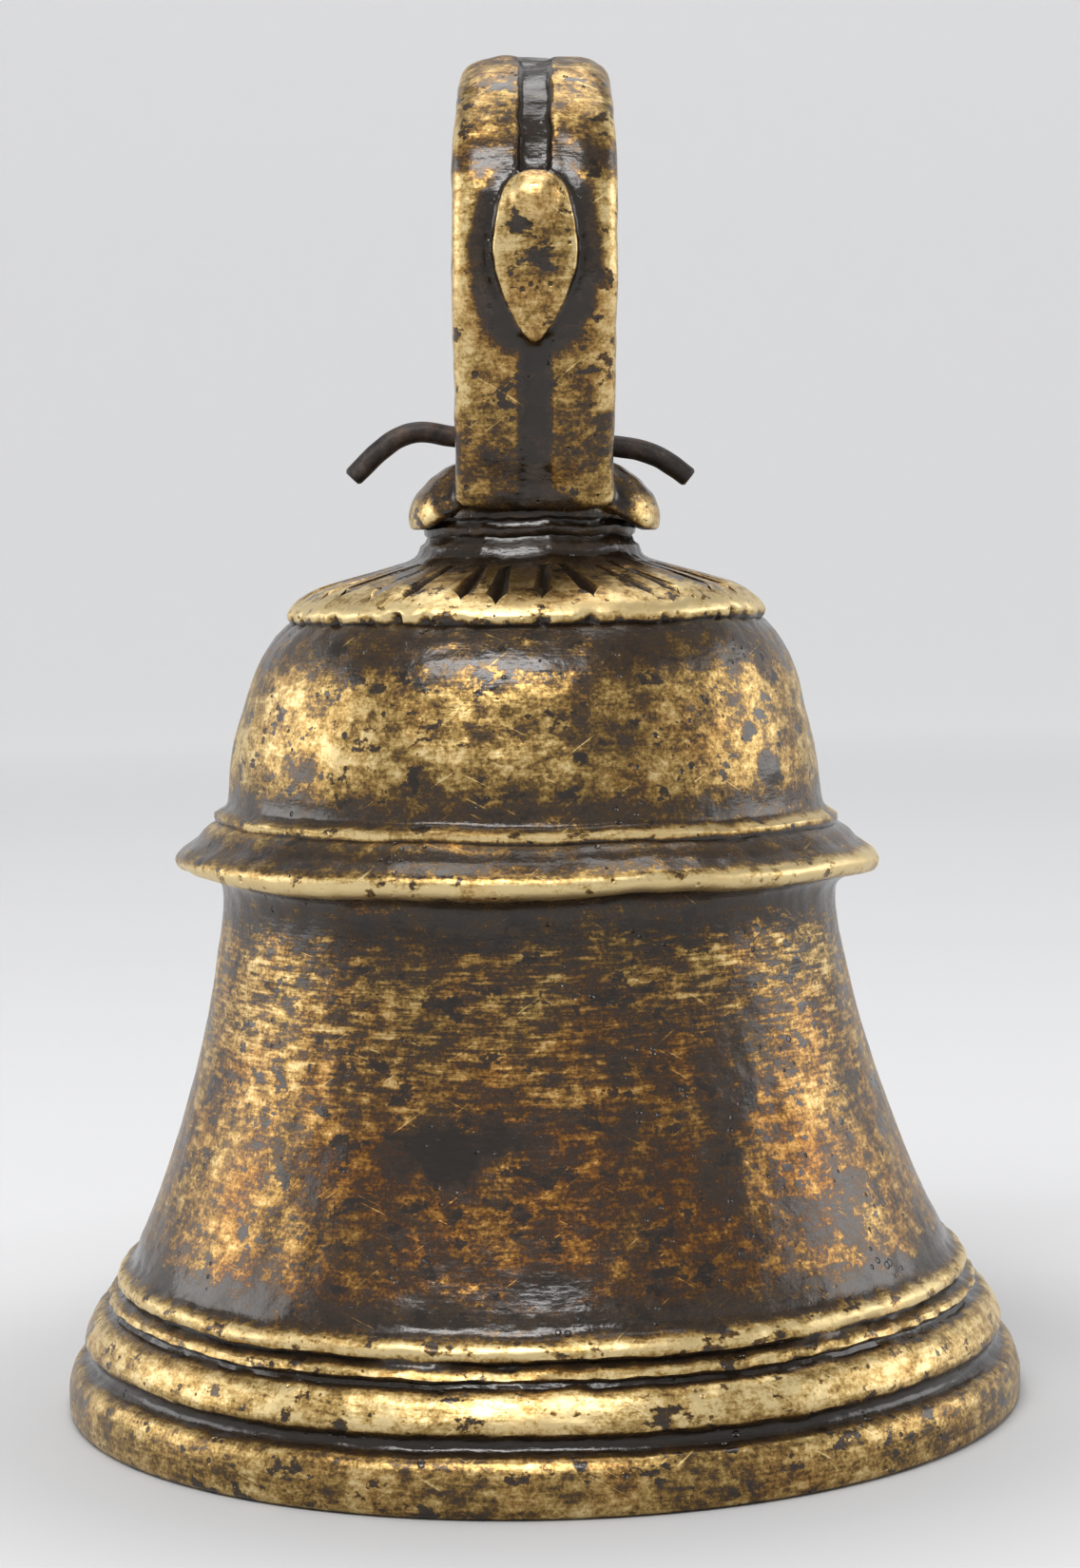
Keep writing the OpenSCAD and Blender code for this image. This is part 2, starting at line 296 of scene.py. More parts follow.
def oldBrass(name, look):
    # sand-cast brass, handled for generations: golden where it is rubbed, with a brown-black
    # skin in every hollow and a grainy mottle between, which the eye reads as age
    material, tree = newMaterial(name)
    local = addNode(tree, "ShaderNodeTexCoord", output="Object")
    place = addNode(tree, "ShaderNodeVectorMath", {"operation": "SCALE"},
                    {0: local, "Scale": 1 / mm})
    mark = {key: addNode(tree, "ShaderNodeAttribute", {"attribute_name": key}, output="Fac")
            for key in ("hollow", "grimeAndShade", "polishAndHighlight", "streaky", "warm")}
    made = addPatterns(tree, place, brassPatterns)

    # how thick the dark skin is, from 0 on rubbed metal to 1 in the hollows; it also carries the
    # painted shade and the painted highlight marked on each piece
    scraped = addNode(tree, "ShaderNodeMath", {"operation": "MULTIPLY"},
                      {0: addUp(tree, -0.5, [(made["streak"], 1.0)]), 1: mark["streaky"]})
    blotch = addNode(tree, "ShaderNodeMapRange", {"interpolation_type": "SMOOTHSTEP"},
                     {"Value": made["blotch"], "From Min": 0.575, "From Max": 0.63})
    noises = [(made["cloud"], look["cloudPull"]), (made["mottle"], look["mottlePull"]),
              (made["grain"], look["grainPull"]), (made["brushed"], look["brushedPull"])]
    start = look["skinBase"] - sum(gain for _, gain in noises) / 2
    skin = addUp(tree, start, noises + [(scraped, look["streakPull"]), (blotch, look["blotchPull"]),
                                        (mark["hollow"], look["hollowPull"]),
                                        (mark["grimeAndShade"], 1.0), (mark["polishAndHighlight"], -1.0)])

    # a few long fine scratches, slanting two ways, where bare metal shows again
    for turn in ((0, 0.62, 0.3), (0.3, -0.5, 0)):
        turned = addNode(tree, "ShaderNodeMapping", None, {"Vector": place, "Rotation": turn})
        line = addPatterns(tree, turned, {"line": (0.5, 2, 0.5, (0.1, 0.1, 2.2))})["line"]
        scratch = addNode(tree, "ShaderNodeMapRange", None,
                          {"Value": line, "From Min": 0.7, "From Max": 0.76})
        skin = addUp(tree, skin, [(scratch, -0.4)])

    # small dark casting pits, sparse and uneven in size
    cells = addNode(tree, "ShaderNodeTexVoronoi", None,
                    {"Vector": place, "Scale": 1 / look["pitSpacing"]}, output="Distance")
    reach = addNode(tree, "ShaderNodeMapRange", None,
                    {"Value": made["pitField"], "From Min": 0.42, "From Max": 0.72,
                     "To Min": -0.05, "To Max": look["pitSize"]})
    gap = addNode(tree, "ShaderNodeMath", {"operation": "SUBTRACT"}, {0: reach, 1: cells})
    pit = addNode(tree, "ShaderNodeMapRange", None,
                  {"Value": gap, "From Min": -0.04, "From Max": 0.07})
    skin = addUp(tree, skin, [(pit, 0.45)])
    skin = addNode(tree, "ShaderNodeClamp", None, {"Value": skin, "Min": 0.0, "Max": 1.25})
    shade = addNode(tree, "ShaderNodeMath", {"operation": "MULTIPLY"}, {0: skin, 1: 0.8})

    # colour: pale gold, gold, olive brown, then brown-black, warmer in places
    gold = addNode(tree, "ShaderNodeValToRGB", None, {"Fac": shade}, look["goldStops"])
    amber = addNode(tree, "ShaderNodeValToRGB", None, {"Fac": shade}, look["amberStops"])
    hue = addUp(tree, mark["warm"], [(made["hue"], 1.0)])
    share = addNode(tree, "ShaderNodeMapRange", None,
                    {"Value": hue, "From Min": 0.4, "From Max": 0.85})
    colour = addNode(tree, "ShaderNodeMix", {"data_type": "RGBA"},
                     {0: share, 6: gold, 7: amber}, output=2)

    metal = addNode(tree, "ShaderNodeMapRange", None,
                    {"Value": skin, "From Min": 0.4, "From Max": 0.85,
                     "To Min": 1.0, "To Max": look["skinMetal"]})
    rough = addNode(tree, "ShaderNodeMapRange", None,
                    {"Value": skin, "From Min": 0.15, "From Max": 0.9,
                     "To Min": look["bareRough"], "To Max": look["skinRough"]})
    rough = addUp(tree, rough, [(addUp(tree, -0.5, [(made["mottle"], 1.0)]), 0.35)])

    crackle = addNode(tree, "ShaderNodeMath", {"operation": "MULTIPLY"},
                      {0: made["crackle"], 1: skin})
    heights = {**made, "crackle": crackle, "bareMetal": addUp(tree, 1.0, [(skin, -1.0)]),
               "unpitted": addUp(tree, 1.0, [(pit, -1.0)])}
    relief = addRelief(tree, [(heights[key], depth) for key, depth in reliefDepths.items()])
    surface = addNode(tree, "ShaderNodeBsdfPrincipled", None,
                      {"Base Color": colour, "Metallic": metal, "Roughness": rough,
                       "Normal": relief, "Coat Weight": look["wax"], "Coat Roughness": 0.2,
                       "Coat Normal": relief})
    addNode(tree, "ShaderNodeOutputMaterial", None, {"Surface": surface})
    return material


def forgedIron(name, look):
    # drawn iron gone brown-black: a dull skin with a soft sheen and a little rust
    material, tree = newMaterial(name)
    local = addNode(tree, "ShaderNodeTexCoord", output="Object")
    place = addNode(tree, "ShaderNodeVectorMath", {"operation": "SCALE"},
                    {0: local, "Scale": 1 / mm})
    made = addPatterns(tree, place, {"scale": (1.6, 6, 0.68, even), "rust": (3.2, 5, 0.62, even),
                                     "fine": (0.3, 4, 0.65, even)})
    colour = addNode(tree, "ShaderNodeValToRGB", None, {"Fac": made["scale"]}, look["scaleStops"])
    rust = addNode(tree, "ShaderNodeMapRange", None,
                   {"Value": made["rust"], "From Min": 0.5, "From Max": 0.7,
                    "To Max": look["rust"]})
    colour = addNode(tree, "ShaderNodeMix", {"data_type": "RGBA"},
                     {0: rust, 6: colour, 7: linear(look["rustTone"])}, output=2)
    rough = addNode(tree, "ShaderNodeMapRange", None,
                    {"Value": made["scale"], "From Min": 0.3, "From Max": 0.75,
                     "To Min": 0.36, "To Max": 0.6})
    relief = addRelief(tree, [(made["scale"], 0.14), (made["fine"], 0.04)])
    surface = addNode(tree, "ShaderNodeBsdfPrincipled", None,
                      {"Base Color": colour, "Metallic": 0.55, "Roughness": rough,
                       "Normal": relief})
    addNode(tree, "ShaderNodeOutputMaterial", None, {"Surface": surface})
    return material


brassLook = {
    "skinBase": 0.43, "cloudPull": 0.85, "mottlePull": 1.75, "grainPull": 1.0,
    "brushedPull": 0.25, "streakPull": 2.1, "blotchPull": 0.6, "hollowPull": 0.9,
    "pitSpacing": 1.3, "pitSize": 0.28,
    "goldStops": [(0.0, "#d6c08e"), (0.18, "#b3975f"), (0.34, "#866a3b"), (0.47, "#503c22"),
                  (0.6, "#35281a"), (0.8, "#261b10"), (1.0, "#1b130a")],
    "amberStops": [(0.0, "#c8a365"), (0.18, "#a4793f"), (0.34, "#7c5328"), (0.47, "#4a301b"),
                   (0.6, "#332214"), (0.8, "#26190e"), (1.0, "#1b1209")],
    "skinMetal": 0.12, "bareRough": 0.44, "skinRough": 0.2,
    "wax": 0.06,        # old oil and wax, the whitish gleam over the dark skin
}
brassBell = oldBrass("agedCastBrassBell", brassLook)
brassLoop = oldBrass("agedCastBrassLoop", {**brassLook, "cloudPull": 0.6, "skinBase": 0.45})
brassBob = oldBrass("tarnishedCastBrassBob", {**brassLook, "skinBase": 0.55})
ironLook = {"scaleStops": [(0.3, "#1f1b19"), (0.52, "#352e2a"), (0.75, "#5c5049")],
            "rust": 0.5, "rustTone": "#4f3322"}
ironWire = forgedIron("forgedIronWire", ironLook)
print("materials ready")


# The bell: one spun shell, cut, dented and marked.

bell = {
    "spinSteps": 360,
    "holeRadius": 2.7,      # hole in the crown for the hanger wire
    "crown": 73.4,          # height of the inside's top
    "widest": 44.93,        # no dent or lump stands out past this radius
}
# outer face from the lip up, [radius, height]
rimLine = [[41.4, 0], [43, 0], [44.3, 0.05], [44.85, 0.4], [45, 1.3], [44.85, 2.8], [44.45, 4.1],
           [43.9, 4.75], [42.95, 5.1], [42.6, 5.7], [42.75, 6.3], [43.2, 6.75], [43.15, 7.4],
           [42.75, 8.3], [42.2, 9.2], [41.55, 9.75], [40.75, 10], [40.55, 10.35], [40.95, 10.75],
           [40.75, 11.25], [40, 11.55], [39.6, 11.85], [40.05, 12.25], [40.1, 12.75],
           [39.65, 13.4], [38.9, 13.85], [38.35, 14.5], [37.85, 15.7]]
skirtLine = [[36.7, 18.1], [35.15, 21.8], [33.75, 25.6], [32.45, 29.5], [31.35, 33.4],
             [30.4, 37.3], [29.6, 41.3], [28.95, 45]]
beadLine = [[28.75, 47.4], [29, 48.8], [29.9, 49.5], [31.5, 49.8], [32.6, 50.15], [33, 50.9],
            [32.7, 51.6], [31.8, 52.25], [30.9, 52.9], [30.3, 53.6], [29.6, 54.15],
            [29.15, 54.4], [29.25, 54.8], [29.2, 55.2], [28.6, 55.55], [28.05, 55.95]]
domeLine = [[27.8, 56.9], [27.5, 60], [27.05, 62.4], [26.4, 64.8], [25.7, 67.3],
            [24.7, 69.7], [23.4, 71.8]]
shoulderLine = [[22.5, 72.8], [22.1, 73.15], [22.35, 73.5], [22.45, 73.95], [21.9, 74.8],
                [20.9, 75.6], [19.4, 76.35], [17, 77.1], [13.6, 78.05], [11.3, 78.75]]
neckLine = [[10.55, 79.3], [10.25, 80.1], [9.85, 80.4], [9.65, 80.9], [9.9, 81.2], [9.95, 81.7],
            [9.6, 82.05], [9.55, 82.4], [9.8, 82.7], [9.7, 83.4], [9.4, 83.7], [6, 83.7],
            [2.7, 83.7]]


def fineness(height):
    # how far apart the profile's points are: close together on the bands, bead and neck
    if height < 16 or 47 < height < 57 or height > 72:
        return 0.38
    return 1.0


def buildBell():
    outer = catmull(rimLine + skirtLine + beadLine + domeLine + shoulderLine + neckLine, fineness)
    inner = np.vstack([
        [[bell["holeRadius"], 78.5], [bell["holeRadius"], bell["crown"]]],
        bezier([12, bell["crown"] - 0.6], [24.4, 71], [24.7, 57], 14),
        bezier([25.7, 46], [30.5, 21], [40.8, 0.4], 26),
        [rimLine[0]]])
    obj = lathe("bellShell", np.vstack([outer, inner]), bell["spinSteps"])
    return obj, outer


bellShell, outerLine = buildBell()
print("bell spun:", len(bellShell.data.vertices))


def roughenBell(obj, line):
    # hand-made unevenness: nothing on this bell was turned true
    co = coordsOf(obj) / mm
    radius = np.hypot(co[:, 0], co[:, 1])
    theta = np.degrees(np.arctan2(co[:, 0], -co[:, 1]))    # 0 at the front, 90 on the right
    height = co[:, 2]
    lineR = np.interp(height, line[:, 1], line[:, 0])
    outside = ((radius > lineR - 1.2) | (height > 73.9)) & (height > 0.02) & (radius > 8.5)
    keepBase = smoothStep(0, 2.5, height)
    ring = np.stack([np.sin(np.radians(theta)), -np.cos(np.radians(theta)), 0 * theta], 1)

    # bead and shoulder aren't level with the rim
    tilt = np.interp(height, [14, 44, 56, 70, 84], [0, -0.021, -0.02, -0.010, -0.008])
    rise = tilt * co[:, 0]
    # bands and bead wander up and down round the bell, and in and out a little
    up = np.array([0, 0, 1]) * height[:, None]
    rise += 0.26 * wobble(ring * 30 + up * 0.6, 11, 1)
    rise += 0.13 * wobble(ring * 34 + up, 3.2, 2)
    onBands = smoothStep(4, 6, height) * smoothStep(15.5, 14, height)
    rise += onBands * 0.16 * wobble(ring * 40 + up * 2.2, 1.7, 5)
    inOut = 0.13 * wobble(co, 9, 3) + 0.06 * wobble(co, 2.6, 4) + 0.035 * wobble(co, 1.1, 6)
    # thin ridge and crests break off here and there
    broken = np.clip(wobble(ring * 40 + up, 2.2, 9) - 0.12, 0, 1)
    inOut -= 1.3 * broken * bump(height, 11.0, 0.5)
    inOut -= 0.6 * broken * bump(height, 13.2, 0.6)

    # the bead is fuller and lower at the front left, and steps up right of the middle
    left = smoothStep(14, -6, theta) * smoothStep(-75, -40, theta)
    onBead = bump(height, 50.6, 1.9)
    rise += bump(height, 51, 4) * 0.45 * bump(angleFrom(theta, 8), 0, 38)
    rise += bump(height, 49.6, 1.1) * (-0.3 * left)
    rise += onBead * 0.3 * smoothStep(10, 20, theta) * smoothStep(80, 50, theta)

    # bites out of the shoulder's lower edge
    bite = np.clip(wobble(ring * 22, 1.25, 21) - 0.1, 0, 1) + 0.6 * np.clip(
        wobble(ring * 22, 2.6, 22) - 0.2, 0, 1)
    onEdge = bump(height, 73.55, 0.55) * (radius > 20.5)
    inOut -= 1.5 * bite * onEdge
    rise += 0.55 * bite * onEdge
    height = height + rise * keepBase * outside * (height < 83)

    # here and there a groove fills up and two bands run together
    bands = [(-16, 11.6, 4.5, 1.0), (37, 11.9, 4, 1.2), (128, 10.4, 9, 1.2), (-140, 11.9, 8, 1.4)]
    filled = np.zeros(len(co))
    for centre, level, spread, tall in bands:
        filled = np.maximum(filled, bump(angleFrom(theta, centre), 0, spread)
                            * bump(height, level, tall))
    straight = 41.0 - 0.5 * (height - 10.5)
    newR = radius + inOut * outside * keepBase
    newR = np.where(outside, newR * (1 - 0.8 * filled) + straight * 0.8 * filled, newR)
    newR = np.minimum(newR, bell["widest"])

    # the neck, dome and waist drift off the axis
    drift = np.interp(height, [0, 40, 50, 62, 74, 84], [0, -0.35, -0.45, -0.65, -0.1, 0.6])
    x = newR * np.sin(np.radians(theta)) + drift
    y = -newR * np.cos(np.radians(theta))
    setCoords(obj, np.stack([x, y, np.maximum(height, 0)], 1) * mm)


chisel = {
    "count": 30, "innerR": 12.4, "outerR": 23.1, "slope": 16.5, "droop": 0.42, "flat": 0.68,
    # least and most of each cut's own width, tip, length, turn, reach, level and slant
    "wide": (1.7, 2.3), "tip": (3.0, 3.9), "longer": (-0.5, 0.5), "turn": (-2.4, 2.4),
    "reach": (-0.35, 0.15), "level": (-0.02, 0.14), "slant": (-5, 5),
}
nearShoulder = np.array(shoulderLine[3:] + neckLine[:1])


def chiselCutters():
    # leaf-shaped cuts round the shoulder, each a narrow wedge with a pointed outer end
    rng = random.Random(7)
    slope = math.radians(chisel["slope"])
    placed = []
    for i in range(chisel["count"]):
        wide = rng.uniform(*chisel["wide"])
        length = (chisel["outerR"] - chisel["innerR"]) / math.cos(slope)
        length += rng.uniform(*chisel["longer"])
        tip = rng.uniform(*chisel["tip"])
        halves = []
        for wideEnd, thinEnd, depth, side in ((wide * 0.26, wide / 2, length - tip, -1),
                                              (wide / 2, 0, tip, 1)):
            deselectAll()
            bpy.ops.mesh.primitive_cone_add(
                vertices=4, radius1=wideEnd * mm, radius2=thinEnd * mm, depth=depth * mm,
                location=(0, 0, side * depth / 2 * mm), end_fill_type="NOTHING")
            halves.append(applyPlace(named("cutHalf")))
        tool = closeMesh(tidyMesh(joinAll(halves), 0.005))
        # the spindle is laid out along the shoulder, and its tip follows the edge down
        tool.data.transform(Matrix.Diagonal((chisel["flat"], 1, 1, 1)))
        tool.data.transform(Matrix.Rotation(math.radians(90), 4, "Y"))
        co = coordsOf(tool)
        co[:, 2] -= chisel["droop"] * np.maximum(co[:, 0], 0)
        setCoords(tool, co)
        turn = -90 + (i + 0.5) * 360 / chisel["count"] + rng.uniform(*chisel["turn"])
        reach = chisel["outerR"] - tip * math.cos(slope) + rng.uniform(*chisel["reach"])
        level = np.interp(reach, *nearShoulder[::-1].T) + rng.uniform(*chisel["level"])
        tool.data.transform(Matrix.Rotation(math.radians(turn), 4, "Z")
                            @ Matrix.Translation(Vector((reach, 0, level)) * mm)
                            @ Matrix.Rotation(slope, 4, "Y")
                            @ Matrix.Rotation(math.radians(rng.uniform(*chisel["slant"])), 4, "Z"))
        placed.append(tool)
    return joinAll(placed)


boolean(bellShell, chiselCutters(), "DIFFERENCE", crossing=True)
flat = coordsOf(bellShell) / mm
flatR = np.hypot(flat[:, 0], flat[:, 1])
cutDepth = np.interp(flatR, nearShoulder[::-1, 0], nearShoulder[::-1, 1]) - flat[:, 2]
cutDepth = np.where((flatR > 10.8) & (flatR < 22.3) & (flat[:, 2] > 74), cutDepth, 0)
roughenBell(bellShell, outerLine)
print("shoulder cut:", len(bellShell.data.vertices))


def markBell(obj):
    # where the skin is thick or shade is painted, where the metal is rubbed bare, where it is
    # streaked or warm
    co = coordsOf(obj) / mm
    radius = np.hypot(co[:, 0], co[:, 1])
    theta = np.degrees(np.arctan2(co[:, 0], -co[:, 1]))
    height = co[:, 2]
    lineR = np.interp(height, outerLine[:, 1], outerLine[:, 0])
    inside = (radius < lineR - 1.6) & (height < 76.5) | (radius < 3.2)
    grimeAndShade = np.zeros(len(co))
    # rings of thick skin: [height, half width, strength]
    for level, width, strength in [(15.2, 1.3, 0.42), (5.7, 0.9, 0.5), (10.2, 0.4, 0.35),
                                   (11.8, 0.35, 0.35), (47.6, 2.0, 0.3), (53.6, 1.0, 0.35),
                                   (57, 1.1, 0.32), (72.3, 1.0, 0.6), (70.5, 1.9, 0.5),
                                   (79.6, 1.4, 0.7), (82, 2.4, 0.75)]:
        grimeAndShade = np.maximum(grimeAndShade, strength * bump(height, level, width))
    # the chisel cuts hold dirt, and so does the root of the neck
    grimeAndShade = np.maximum(grimeAndShade, 0.5 * smoothStep(0.06, 0.3, cutDepth))
    grimeAndShade = np.maximum(grimeAndShade, 0.5 * smoothStep(14.4, 11.3, radius) * (height > 74))
    # ragged stains, [angle, height, width, tall, strength]
    ragged = 0.7 * wobble(co, 2.6, 41) + 0.35 * wobble(co, 1.2, 42)
    for side, level, wide, tall, strength in [
            (-14.5, 28.9, 3.4, 2.1, 1.1), (-19, 29.8, 4, 0.9, 0.7), (-7, 29.6, 6, 1.3, 0.45),
            (-11, 27.2, 1.6, 0.9, 0.8), (1, 17.5, 4, 1.5, 0.55), (12, 30, 3, 2, 0.25),
            (-22, 27.5, 4, 1.2, 0.4), (30, 33, 6, 4, 0.3), (40, 40, 12, 4, 0.15),
            (-30, 45, 14, 3, 0.15), (28, 26, 4, 3, 0.25), (42, 21, 6, 2, 0.2),
            (52, 60, 4, 1.6, 0.55), (-22, 58.5, 6, 1.6, 0.3), (-8, 64, 3, 1.0, 0.25),
            (14, 63.5, 8, 1.6, 0.2), (-48, 61, 5, 2, 0.25), (120, 30, 16, 6, 0.3),
            (170, 24, 14, 4, 0.3), (-150, 36, 18, 5, 0.3), (-100, 27, 10, 6, 0.25),
            (95, 63, 10, 4, 0.25), (-125, 65, 12, 3, 0.3), (150, 60, 9, 4, 0.25)]:
        spot = np.hypot(angleFrom(theta, side) / wide, (height - level) / tall) + ragged
        grimeAndShade = np.maximum(grimeAndShade, strength * smoothStep(1.25, 0.8, spot))
    # painted shade in place of a darker reflection: browner in the middle of the front, more golden
    # at the sides
    paintedFrontShade = bump(angleFrom(theta, 6), 0, 42)
    onSkirt = smoothStep(14, 17, height) * smoothStep(48, 45, height)
    onDome = smoothStep(56, 57, height) * smoothStep(73, 70, height)
    grimeAndShade += onSkirt * (0.2 * paintedFrontShade - 0.03) + onDome * (0.12 * paintedFrontShade - 0.03)
    grimeAndShade += 0.06 * smoothStep(40, 22, height) * smoothStep(14, 17, height)
    grimeAndShade += 0.14 * smoothStep(5, 4, height)
    grimeAndShade = np.maximum(grimeAndShade, 0.3 * smoothStep(51.4, 52.2, height) * smoothStep(54.2, 53.6, height))
    grimeAndShade = np.where(inside, 0.35, grimeAndShade)
    polishAndHighlight = np.zeros(len(co))
    # rings of rubbed metal: [height, half width, strength]
    for level, width, strength in [(50.9, 0.9, 0.44), (55, 0.45, 0.42), (74.4, 1.5, 0.32),
                                   (76.2, 1.4, 0.22), (12.9, 0.6, 0.28), (11.0, 0.3, 0.2),
                                   (8.2, 1.3, 0.14), (63, 5, 0.04)]:
        polishAndHighlight = np.maximum(polishAndHighlight, strength * bump(height, level, width))
    polishAndHighlight = np.where(inside, 0, polishAndHighlight)
    skirt = smoothStep(15, 17, height) * smoothStep(48, 45, height)
    dome = smoothStep(56, 57, height) * smoothStep(72, 70, height)
    storeFloat(obj, "grimeAndShade", grimeAndShade)
    storeFloat(obj, "polishAndHighlight", polishAndHighlight)
    storeFloat(obj, "streaky", np.clip(0.35 + 0.65 * skirt * smoothStep(24, 40, height)
                                       - 0.2 * dome, 0, 1))
    front = bump(angleFrom(theta, 0), 0, 55)
    storeFloat(obj, "warm", skirt * (0.12 + 0.3 * front * smoothStep(46, 26, height)) - 0.1)
    measureHollow(obj, 14, "hollow", 2.2)


markBell(bellShell)
bellShell.data.materials.clear()
bellShell.data.materials.append(brassBell)
pick(bellShell)
bpy.ops.object.shade_smooth_by_angle(angle=math.radians(40))
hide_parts("bell_body")
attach(bellShell, "bell")
print("bell done")


# The hanging loop with its bosses and saddle foot.

loop = {
    "top": 125.0, "outerR": 18.3, "innerR": 11.4, "width": 15.0,
    "foot": 83.8, "seat": 83.75, "shift": 0.9, "lean": 1.3,
    "voxel": 0.27, "bossVoxel": 0.22,
    # right half of the boss's outline, from the top down: [across, height]
    "bossOutline": [(0, 113.05), (1.4, 112.8), (2.3, 112.2), (2.9, 111.3), (3.35, 109.8),
                    (3.7, 107.8), (3.9, 106.2), (3.7, 104.3), (2.75, 101.6), (1.6, 99.4),
                    (0.4, 97.9)],
    "grooveZ": [83.9, 86, 88, 90, 92, 95, 98.6],
    "grooveY": [-9.9, -10.85, -11.7, -12.6, -13.5, -14.75, -16.25],
}


def strapSection(count, halfWide, halfThick, crown):
    # outline of the strap: flat inside, crowned outside, well-rounded edges; [across, out]
    pts = []
    for i in range(count):
        a = math.tau * i / count
        c, s = math.cos(a), math.sin(a)
        power = 3.2 if s < 0 else 4.2
        across = halfWide * math.copysign(abs(c) ** (2 / power), c)
        out = halfThick * math.copysign(abs(s) ** (2 / power), s)
        if s > 0:
            out += crown * (1 - (across / halfWide) ** 2)
        pts.append((across, out))
    return pts


def sweepStrap(name, halfWide, halfThick, offset, crown, count=36):
    # the section travels up one leg, round the top and down the other
    mid = (loop["outerR"] + loop["innerR"]) / 2
    centreZ = loop["top"] - loop["outerR"]
    section = strapSection(count, halfWide, halfThick, crown)
    deselectAll()
    bpy.ops.mesh.primitive_circle_add(vertices=count, radius=5 * mm, fill_type="NGON")
    obj = named(name)
    startAngle = math.radians(-24)
    outDir = Vector((0, math.cos(startAngle), math.sin(startAngle)))
    centre = Vector((0, 0, centreZ)) + outDir * (mid + offset)
    for vertex, (across, out) in zip(obj.data.vertices, section):
        vertex.co = (centre + Vector((across, 0, 0)) + outDir * out) * mm
    pick(obj)
    bpy.ops.object.mode_set(mode="EDIT")
    bpy.ops.mesh.select_all(action="SELECT")
    bpy.ops.mesh.spin(steps=44, angle=math.radians(180 + 48), center=(0, 0, centreZ * mm),
                      axis=(-1, 0, 0), use_auto_merge=False)
    bpy.ops.object.mode_set(mode="OBJECT")
    # both ends are pulled down to the foot in steps, getting thinner
    for side in (1, -1):
        endAngle = startAngle if side == 1 else math.pi - startAngle
        endCentre = Vector((0, math.cos(endAngle), math.sin(endAngle))) * (mid + offset)
        endCentre += Vector((0, 0, centreZ))
        footCentre = Vector((0, side * (7.4 + offset), loop["foot"] + 0.6))
        selectNear(obj, endCentre, endAngle, halfWide + 3)
        steps = 12
        path = [endCentre.lerp(footCentre, (i + 1) / steps) for i in range(steps)]
        pick(obj)
        bpy.ops.object.mode_set(mode="EDIT")
        last = endCentre
        for i, spot in enumerate(path):
            bpy.ops.mesh.extrude_region_move(
                TRANSFORM_OT_translate={"value": tuple((spot - last) * mm)})
            bpy.ops.transform.resize(value=(0.998, 0.982, 0.982), center_override=tuple(spot * mm))
            last = spot
        bpy.ops.object.mode_set(mode="OBJECT")
    return closeMesh(tidyMesh(obj, 0.005))


def selectNear(obj, centre, angle, reach):
    # selects the points of the section that lies in the plane through centre
    deselectAll()
    pick(obj)
    bpy.ops.object.mode_set(mode="EDIT")
    bpy.ops.mesh.select_all(action="DESELECT")
    bpy.ops.object.mode_set(mode="OBJECT")
    along = Vector((0, -math.sin(angle), math.cos(angle)))
    for vertex in obj.data.vertices:
        gap = Vector(vertex.co) / mm - centre
        vertex.select = abs(gap.dot(along)) < 0.02 and gap.length < reach
    for edge in obj.data.edges:
        edge.select = all(obj.data.vertices[i].select for i in edge.vertices)
    for face in obj.data.polygons:
        face.select = all(obj.data.vertices[i].select for i in face.vertices)


def lean(obj):
    # the loop leans a little to the right, and stands a little off the bell's axis
    foot = Vector((0, 0, loop["foot"])) * mm
    turn = (Matrix.Translation(foot + Vector((loop["shift"] * mm, 0, 0)))
            @ Matrix.Rotation(math.radians(loop["lean"]), 4, "Y") @ Matrix.Translation(-foot))
    obj.data.transform(turn)
    obj.data.update()
    return obj


def ellipsoid(name, centre, size):
    deselectAll()
    bpy.ops.mesh.primitive_uv_sphere_add(segments=48, ring_count=24, radius=mm,
                                         location=Vector(centre) * mm)
    bpy.context.object.scale = size
    return applyPlace(named(name))


def extrudeOutline(name, points, direction, length):
    # a flat outline of [x, y, z] points in millimetres, pushed along a direction
    deselectAll()
    bpy.ops.mesh.primitive_circle_add(vertices=len(points), radius=mm, fill_type="NGON")
    obj = named(name)
    for vertex, point in zip(obj.data.vertices, points):
        vertex.co = Vector(point) * mm
    pick(obj)
    bpy.ops.object.mode_set(mode="EDIT")
    bpy.ops.mesh.select_all(action="SELECT")
    push = Vector(direction) * length * mm
    bpy.ops.mesh.extrude_region_move(TRANSFORM_OT_translate={"value": tuple(push)})
    bpy.ops.object.mode_set(mode="OBJECT")
    return tidyMesh(obj, 0.001)


def buildBoss(side):
    # leaf-shaped boss: a round knob above a filed facet that runs down to a point
    right = loop["bossOutline"]
    outline = right[::-1] + [(-x, z) for x, z in right[1:]]
    leaf = extrudeOutline("leaf", [(x, -13, z) for x, z in outline], (0, -1, 0), 9)
    # the facet slopes back towards the tip, and is a little hollow below the knob
    facet = [(-19.0, 114), (-19.6, 111), (-20.0, 108.8), (-19.8, 107.6), (-19.7, 106),
             (-19.3, 103.8), (-18.6, 101.5), (-17.8, 99.3), (-17.2, 97.4), (-16.6, 96), (-30, 96),
             (-30, 114)]
    cutter = extrudeOutline("facet", [(-8, y, z) for y, z in facet], (1, 0, 0), 16)
    boolean(leaf, cutter, "DIFFERENCE")
    knob = ellipsoid("knob", (0, -18.1, 110.1), (2.95, 3.1, 2.95))
    boolean(leaf, knob, "UNION")
    modify(leaf, "REMESH", mode="VOXEL", voxel_size=loop["bossVoxel"] * mm)
    modify(leaf, "SMOOTH", factor=0.5, iterations=5)
    if side < 0:
        leaf.data.transform(Matrix.Rotation(math.pi, 4, "Z"))
    return leaf


